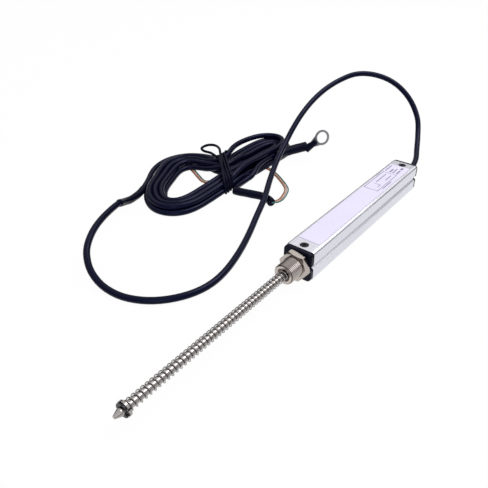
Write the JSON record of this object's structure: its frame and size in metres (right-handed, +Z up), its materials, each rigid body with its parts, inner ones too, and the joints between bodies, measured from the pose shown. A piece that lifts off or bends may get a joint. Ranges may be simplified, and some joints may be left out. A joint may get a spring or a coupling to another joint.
{
  "type": "linear potentiometer",
  "caption": "Spring return linear potentiometer with a square grooved housing, threaded nose, coil spring on its rod and a tied hank of cable.",
  "frame": {"origin": "centre of the housing's bottom face", "axes": "+X along the rod towards its tip, +Z up from the bench"},
  "size_m": [0.3353, 0.1672, 0.055],
  "materials": {
    "housing": "clear anodised, satin",
    "cap": "moulded black nylon",
    "nickel": "nickel plated, turned",
    "bronze": "sintered bronze",
    "steel": "ground stainless",
    "spring": "bright drawn spring wire",
    "dark_steel": "black oxide",
    "acetal": "natural acetal",
    "wiper": "gilded spring bronze",
    "board": "glass epoxy board",
    "label": "printed polyester film",
    "cable": "extruded black PVC jacket",
    "sleeve": "shrunk polyolefin",
    "brown": "PVC wire cover",
    "pink": "PVC wire cover",
    "green": "PVC wire cover",
    "tinned": "tinned copper"
  },
  "bodies": {
    "sensor_body": {"housing": "housing", "front_cap": "cap", "rear_cap": "cap", "cap_screw_front_top": "dark_steel", "cap_screw_front_bottom": "dark_steel", "cap_screw_rear_top": "dark_steel", "cap_screw_rear_bottom": "dark_steel", "label": "label", "threaded_bushing": "nickel", "guide_bush": "bronze", "lock_nut": "nickel", "return_spring": "spring", "track_board": "board", "lead_wire_brown": "brown", "lead_wire_pink": "pink", "lead_wire_green": "green", "cable_crimp_ring": "nickel", "cable": "cable", "cable_sleeve": "sleeve", "signal_sleeve": "sleeve", "core_wire_brown": "brown", "core_wire_pink": "pink", "core_wire_green": "green", "cable_hank": "cable", "hank_tie": "sleeve", "ring_terminal": "tinned", "ring_sleeve": "sleeve"},
    "rod_assembly": {"push_rod": "steel", "spring_washer": "steel", "retaining_clip": "dark_steel", "carriage_clip": "dark_steel", "carriage": "acetal", "wiper_left": "wiper", "wiper_right": "wiper"}
  },
  "joints": [
    {"name": "rod_slide", "type": "slide", "parent": "sensor_body", "child": "rod_assembly", "axis": [-1, 0, 0], "range_m": [0, 0.075], "stiffness_N_per_m": 210, "springref_m": -0.02, "deforming": ["return_spring"]}
  ]
}
